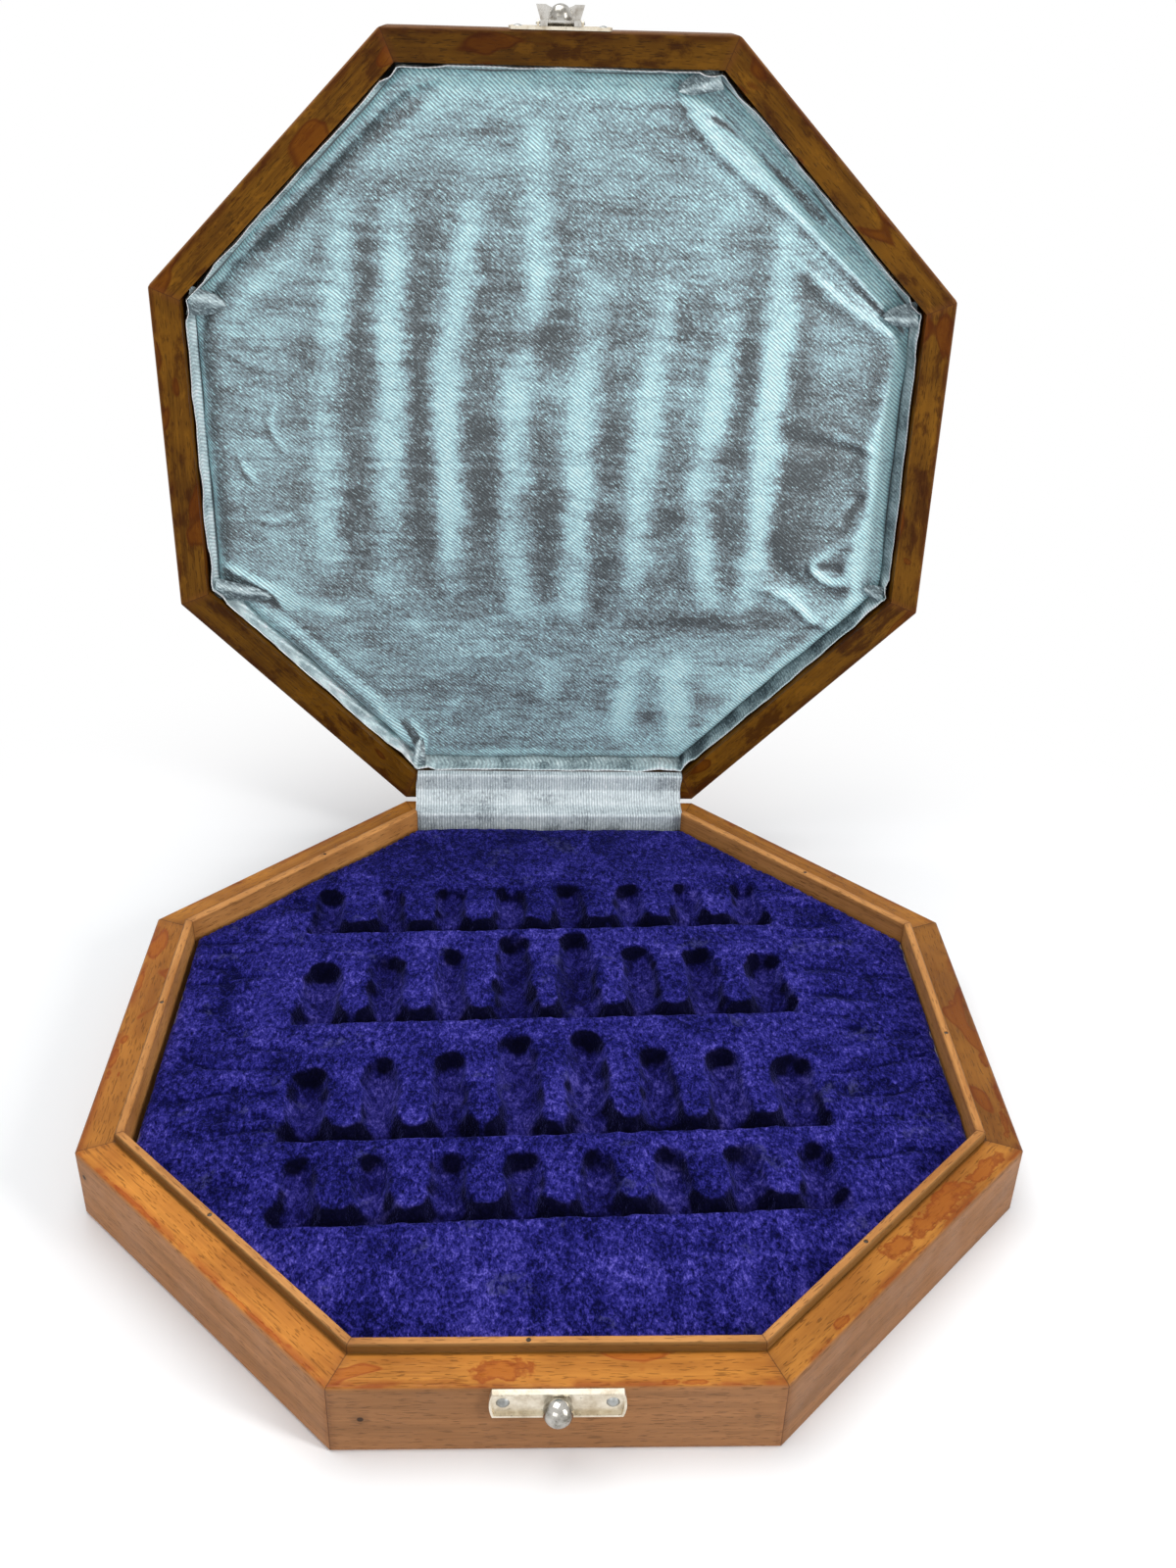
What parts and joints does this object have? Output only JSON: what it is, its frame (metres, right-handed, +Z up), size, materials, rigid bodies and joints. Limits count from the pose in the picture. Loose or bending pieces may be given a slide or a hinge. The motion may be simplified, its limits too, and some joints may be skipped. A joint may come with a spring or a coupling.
{
  "type": "chess box with hinged lid",
  "caption": "Octagonal wooden chess box with a hinged satin-lined lid, a velvet tray with a fitted well for every piece, and a sprung front clasp.",
  "frame": {"origin": "centre of the octagonal underside, on the surface that the box stands on", "axes": "+X to the right and +Y towards the hinges as seen from the clasp, +Z up; the lid is stored standing open at its stop"},
  "size_m": [0.3, 0.3436, 0.3342],
  "materials": {
    "wood_base": "satin varnish",
    "wood_lid": "satin varnish",
    "wood_strip": "bare wood",
    "wood_board": "satin varnish",
    "packing_board": "bare board",
    "card": "matt card",
    "velvet": "pile",
    "satin_panel": "satin weave",
    "satin_band": "satin weave",
    "satin_strip": "satin weave",
    "nail_steel": "dull",
    "hinge_steel": "brushed",
    "clasp_sheet": "dull nickel plate",
    "clasp_pins": "dull nickel plate",
    "knob_nickel": "polished nickel"
  },
  "bodies": {
    "base": {"base_rail_front": "wood_base", "base_rail_front_right": "wood_base", "base_rail_right": "wood_base", "base_rail_back_right": "wood_base", "base_rail_back": "wood_base", "base_rail_back_left": "wood_base", "base_rail_left": "wood_base", "base_rail_front_left": "wood_base", "bottom_board": "wood_board", "lip_strip_front": "wood_strip", "lip_strip_front_right": "wood_strip", "lip_strip_right": "wood_strip", "lip_strip_back_right": "wood_strip", "lip_strip_back_left": "wood_strip", "lip_strip_left": "wood_strip", "lip_strip_front_left": "wood_strip", "strip_nails": "nail_steel", "tray_board": "packing_board", "tray_block_front": "packing_board", "tray_block_front_pawns": "packing_board", "tray_block_front_pieces": "packing_board", "tray_block_back_pieces": "packing_board", "tray_block_back_pawns": "packing_board", "tray_block_back": "packing_board", "velvet_tray": "velvet", "satin_hinge_strip": "satin_strip", "hinge_base_leaf_left": "hinge_steel", "hinge_base_leaf_right": "hinge_steel", "hinge_pin_left": "hinge_steel", "hinge_pin_right": "hinge_steel", "base_hinge_screws": "hinge_steel", "clasp_base_plate": "clasp_sheet", "clasp_base_knob": "knob_nickel", "clasp_base_rivets": "clasp_pins"},
    "lid": {"lid_rail_front": "wood_lid", "lid_rail_front_right": "wood_lid", "lid_rail_right": "wood_lid", "lid_rail_back_right": "wood_lid", "lid_rail_back": "wood_lid", "lid_rail_back_left": "wood_lid", "lid_rail_left": "wood_lid", "lid_rail_front_left": "wood_lid", "lid_board": "wood_board", "lining_card": "card", "lining_wall_band": "satin_band", "lining_cushion": "satin_panel", "hinge_lid_leaf_left": "hinge_steel", "hinge_lid_leaf_right": "hinge_steel", "lid_hinge_screws": "hinge_steel", "clasp_lid_plate": "clasp_sheet", "clasp_lid_rivets": "clasp_pins", "latch_pin": "clasp_pins"},
    "latch": {"latch_arm": "clasp_sheet", "latch_knob": "knob_nickel"}
  },
  "joints": [
    {"name": "lid_hinge", "type": "hinge", "parent": "base", "child": "lid", "pos_m": [0, 0.15, 0.0266], "axis": [1, 0, 0], "range_deg": [0, 92.9], "deforming": ["satin_hinge_strip"]},
    {"name": "latch_pivot", "type": "hinge", "parent": "lid", "child": "latch", "pos_m": [0, 0.17387, 0.32783], "axis": [-1, 0, 0], "range_deg": [0, 16], "stiffness_Nm_per_rad": 0.02, "springref_deg": -5.73}
  ]
}
